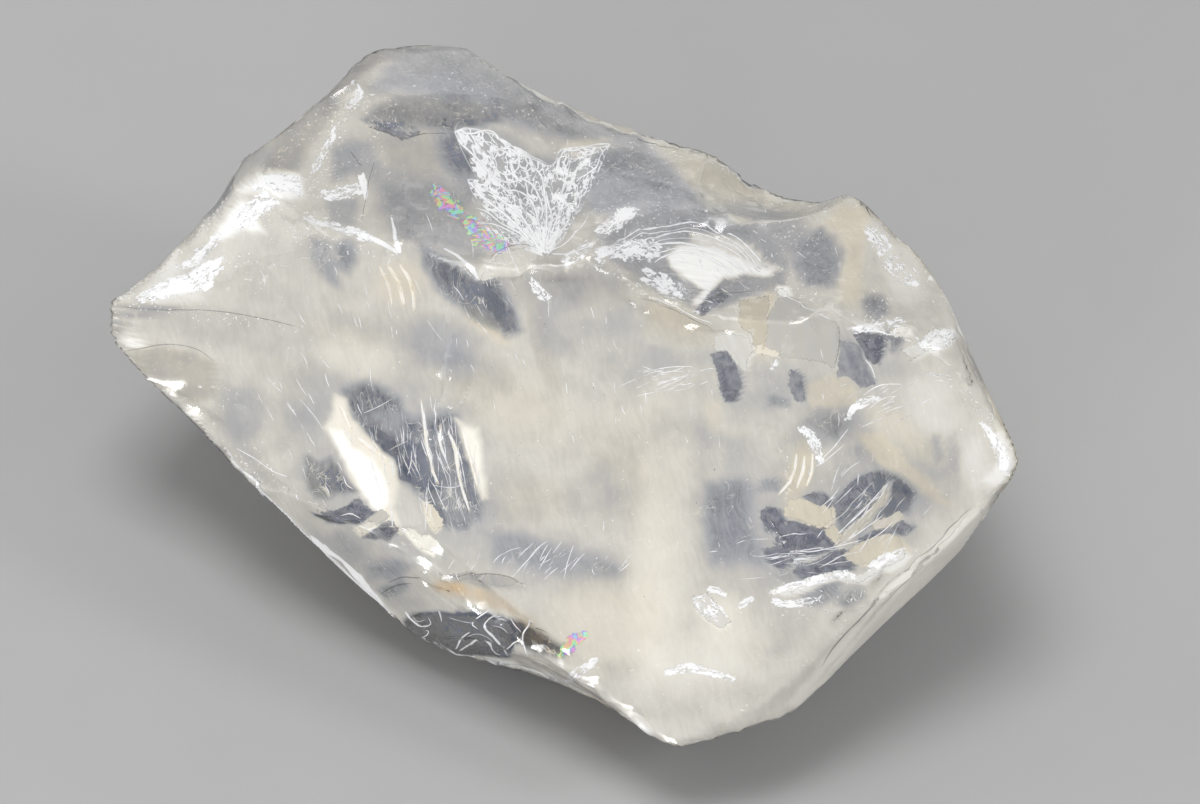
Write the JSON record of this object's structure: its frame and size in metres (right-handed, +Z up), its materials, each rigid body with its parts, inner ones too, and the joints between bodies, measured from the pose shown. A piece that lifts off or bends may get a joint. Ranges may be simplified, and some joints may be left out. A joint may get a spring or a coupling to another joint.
{
  "type": "rough clear crystal chunk",
  "caption": "Rough, broken chunk of clear to milky crystal with curved, shell-like fracture faces and sharp chipped edges, lying on a flat underside as a display specimen.",
  "frame": {"origin": "on the flat underside, below the middle of the bounding box", "axes": "+X along the chunk from its narrow tip to its broad end, -Y towards the foot of the broad leaning face, +Z up from the surface that it rests on"},
  "size_m": [0.0618, 0.0508, 0.0252],
  "materials": {
    "clear_crystal": "clear to milky, glassy fracture faces with fine scratches"
  },
  "bodies": {
    "root": {"crystal_chunk": "clear_crystal"}
  },
  "joints": []
}
